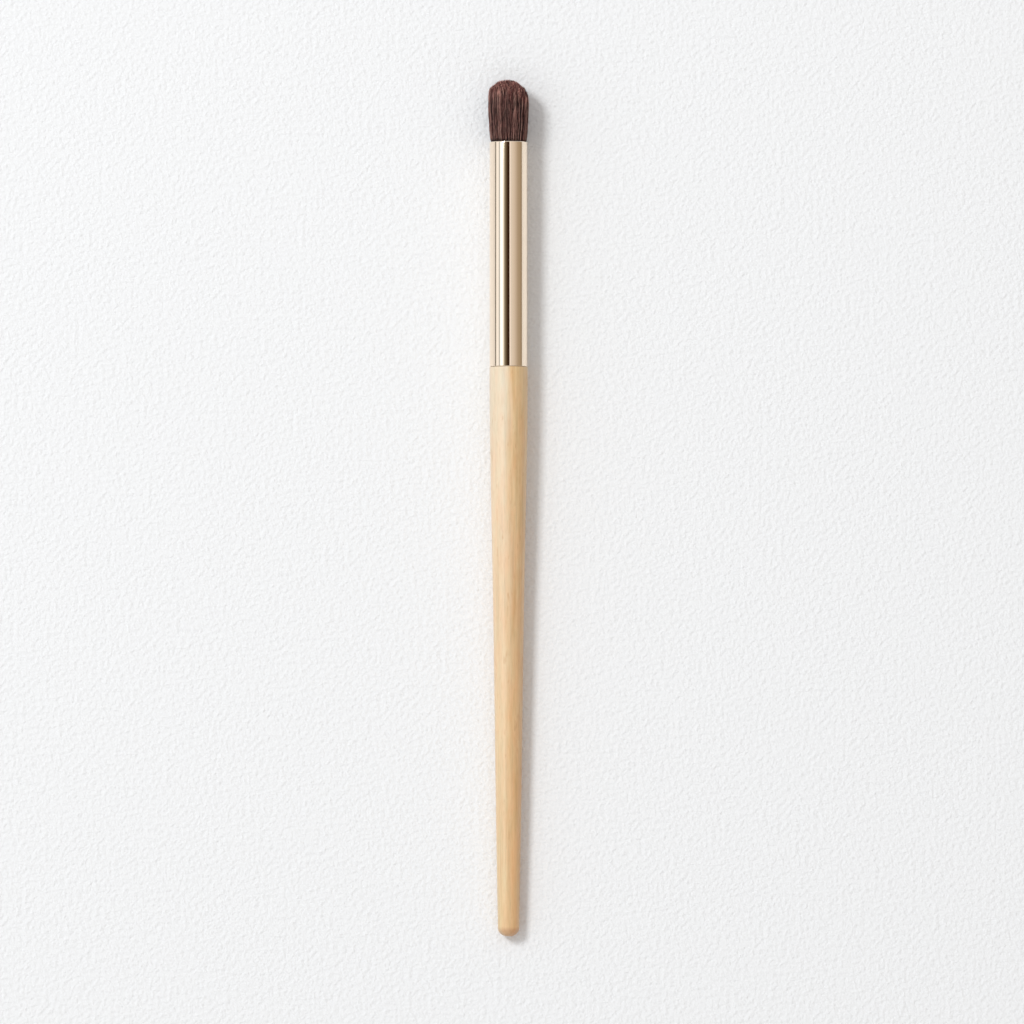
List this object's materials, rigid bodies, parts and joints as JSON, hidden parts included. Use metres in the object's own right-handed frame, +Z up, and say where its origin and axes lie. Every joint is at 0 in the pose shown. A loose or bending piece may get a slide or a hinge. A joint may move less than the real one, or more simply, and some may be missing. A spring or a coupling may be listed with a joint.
{
  "type": "blending brush",
  "caption": "Round eye make-up blending brush: a domed soft tuft in a straight metal ferrule on a slim tapered wooden handle, lying on its side.",
  "frame": {"origin": "on the surface the brush lies on, under the middle of its overall length", "axes": "+Z up from the surface, +Y from the tail of the handle towards the tip of the tuft; the brush's own axis rises towards the tuft by 0.92 degrees"},
  "size_m": [0.0084, 0.175, 0.0091],
  "materials": {
    "fibre": "matte",
    "thread": "matte",
    "resin": "gloss",
    "ferrule_metal": "polished",
    "handle_wood": "satin",
    "glue": "satin"
  },
  "bodies": {
    "root": {"bristle_tuft": "fibre", "root_thread": "thread", "resin_cup": "resin", "ferrule": "ferrule_metal", "handle": "handle_wood", "glue_bead_front": "glue", "glue_bead_rear": "glue"}
  },
  "joints": []
}
